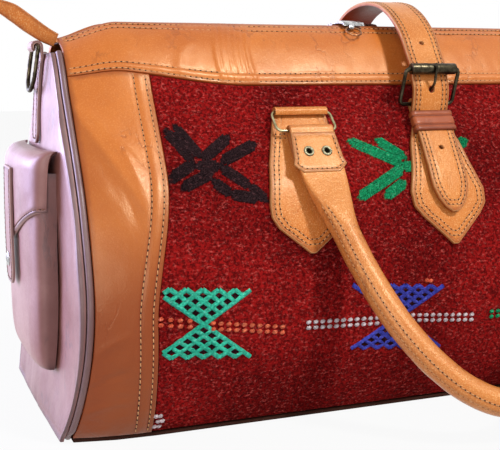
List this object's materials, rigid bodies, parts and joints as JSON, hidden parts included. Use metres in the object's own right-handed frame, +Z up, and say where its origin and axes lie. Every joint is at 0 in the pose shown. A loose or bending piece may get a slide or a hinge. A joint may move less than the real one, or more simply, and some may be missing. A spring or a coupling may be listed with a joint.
{
  "type": "travel bag",
  "caption": "Barrel travel bag in leather and woven kilim, with two arched handles on rings, a zip under a buckled strap, end pockets with flaps and D-rings.",
  "frame": {"origin": "middle of the base, on the floor", "axes": "+X along the bag to the viewer's right, -Y the front face, +Z up"},
  "size_m": [0.6778, 0.4556, 0.3281],
  "materials": {
    "antique_metal": "dark antique plated metal",
    "board": "plain stiff board",
    "brown_leather": "smooth dark brown leather with a waxed sheen",
    "copper_wire": "brown copper wire",
    "keeper_leather": "red brown leather",
    "kilim_red": "deep red woven wool kilim",
    "lining_cloth": "plain brown cloth",
    "pale_brass": "pale worn brass",
    "silver_metal": "bright plated metal",
    "tan_leather": "worn smooth tan leather, waxed",
    "zip_tape": "dark brown zip tape with its teeth"
  },
  "bodies": {
    "bag": {"back_kilim_panel": "kilim_red", "back_left_handle_tab": "tan_leather", "back_left_strip": "tan_leather", "back_right_handle_tab": "tan_leather", "back_right_strip": "tan_leather", "back_strap_patch": "tan_leather", "back_top_band": "tan_leather", "back_zip_half": "zip_tape", "base_board": "board", "base_panel": "brown_leather", "buckle_frame": "antique_metal", "buckle_prong": "antique_metal", "buckle_tab": "tan_leather", "closure_strap": "tan_leather", "front_kilim_panel": "kilim_red", "front_left_handle_tab": "tan_leather", "front_left_strip": "tan_leather", "front_right_handle_tab": "tan_leather", "front_right_strip": "tan_leather", "front_top_band": "tan_leather", "front_zip_half": "zip_tape", "keeper_loop": "keeper_leather", "left_d_ring_tab": "brown_leather", "left_end_panel": "brown_leather", "left_piping": "brown_leather", "left_pocket": "brown_leather", "left_zip_end_tab": "tan_leather", "lining": "lining_cloth", "right_d_ring_tab": "brown_leather", "right_end_panel": "brown_leather", "right_piping": "brown_leather", "right_pocket": "brown_leather", "right_zip_end_tab": "tan_leather"},
    "front_left_ring": {"front_left_handle_ring": "pale_brass"},
    "front_right_ring": {"front_right_handle_ring": "pale_brass"},
    "front_handle_and_eyelets": {"front_handle": "tan_leather", "front_eyelet_left_inner": "pale_brass", "front_eyelet_left_outer": "pale_brass", "front_eyelet_right_inner": "pale_brass", "front_eyelet_right_outer": "pale_brass"},
    "back_left_ring": {"back_left_handle_ring": "pale_brass"},
    "back_right_ring": {"back_right_handle_ring": "pale_brass"},
    "back_handle_and_eyelets": {"back_handle": "tan_leather", "back_eyelet_left_inner": "pale_brass", "back_eyelet_left_outer": "pale_brass", "back_eyelet_right_inner": "pale_brass", "back_eyelet_right_outer": "pale_brass"},
    "left_slider": {"left_zip_slider": "silver_metal"},
    "left_pull": {"left_pull_ring": "copper_wire"},
    "left_d_ring_body": {"left_d_ring": "antique_metal"},
    "left_flap": {"left_pocket_flap": "brown_leather", "left_pocket_strap": "brown_leather", "left_pocket_snap": "silver_metal"},
    "right_slider": {"right_zip_slider": "silver_metal"},
    "right_pull": {"right_pull_ring": "copper_wire"},
    "right_d_ring_body": {"right_d_ring": "antique_metal"},
    "right_flap": {"right_pocket_flap": "brown_leather", "right_pocket_strap": "brown_leather", "right_pocket_snap": "silver_metal"},
    "roller": {"buckle_roller": "antique_metal"}
  },
  "joints": [
    {"name": "front_left_ring_swing", "type": "hinge", "parent": "bag", "child": "front_left_ring", "pos_m": [-0.1145, -0.07765, 0.23686], "axis": [-1, 0, 0], "range_deg": [0, 130]},
    {"name": "front_right_ring_swing", "type": "hinge", "parent": "bag", "child": "front_right_ring", "pos_m": [0.1145, -0.07765, 0.23686], "axis": [-1, 0, 0], "range_deg": [0, 130]},
    {"name": "front_handle_swing", "type": "hinge", "parent": "front_left_ring", "child": "front_handle_and_eyelets", "pos_m": [-0.1145, -0.09227, 0.22322], "axis": [-1, 0, 0], "range_deg": [-2, 30]},
    {"name": "back_left_ring_swing", "type": "hinge", "parent": "bag", "child": "back_left_ring", "pos_m": [-0.1145, 0.07765, 0.23686], "axis": [1, 0, 0], "range_deg": [0, 130]},
    {"name": "back_right_ring_swing", "type": "hinge", "parent": "bag", "child": "back_right_ring", "pos_m": [0.1145, 0.07765, 0.23686], "axis": [1, 0, 0], "range_deg": [0, 130]},
    {"name": "back_handle_swing", "type": "hinge", "parent": "back_left_ring", "child": "back_handle_and_eyelets", "pos_m": [-0.1145, 0.09227, 0.22322], "axis": [1, 0, 0], "range_deg": [-2, 30]},
    {"name": "left_slider_run", "type": "slide", "parent": "bag", "child": "left_slider", "axis": [1, 0, 0], "range_m": [-0.19, 0]},
    {"name": "left_pull_swing", "type": "hinge", "parent": "left_slider", "child": "left_pull", "pos_m": [-0.047, -0.03, 0.3045], "axis": [-1, 0, 0], "range_deg": [0, 110]},
    {"name": "right_slider_run", "type": "slide", "parent": "bag", "child": "right_slider", "axis": [1, 0, 0], "range_m": [0, 0.25]},
    {"name": "right_pull_swing", "type": "hinge", "parent": "right_slider", "child": "right_pull", "pos_m": [-0.014, 0.03, 0.3045], "axis": [1, 0, 0], "range_deg": [0, 110]},
    {"name": "left_d_ring_swing", "type": "hinge", "parent": "bag", "child": "left_d_ring_body", "pos_m": [-0.30521, 0, 0.287], "axis": [0, 1, 0], "range_deg": [0, 110]},
    {"name": "left_flap_lift", "type": "hinge", "parent": "bag", "child": "left_flap", "pos_m": [-0.31033, 0, 0.2094], "axis": [0, 1, 0], "range_deg": [0, 95]},
    {"name": "right_d_ring_swing", "type": "hinge", "parent": "bag", "child": "right_d_ring_body", "pos_m": [0.30521, 0, 0.287], "axis": [0, -1, 0], "range_deg": [0, 110]},
    {"name": "right_flap_lift", "type": "hinge", "parent": "bag", "child": "right_flap", "pos_m": [0.31033, 0, 0.2094], "axis": [0, -1, 0], "range_deg": [0, 95]},
    {"name": "roller_turn", "type": "hinge", "parent": "bag", "child": "roller", "pos_m": [0, -0.08514, 0.27012], "axis": [1, 0, 0], "continuous": true}
  ],
  "couplings": [
    {"joint": "front_right_ring_swing", "follows": "front_left_ring_swing", "ratio": 1},
    {"joint": "back_right_ring_swing", "follows": "back_left_ring_swing", "ratio": 1}
  ]
}
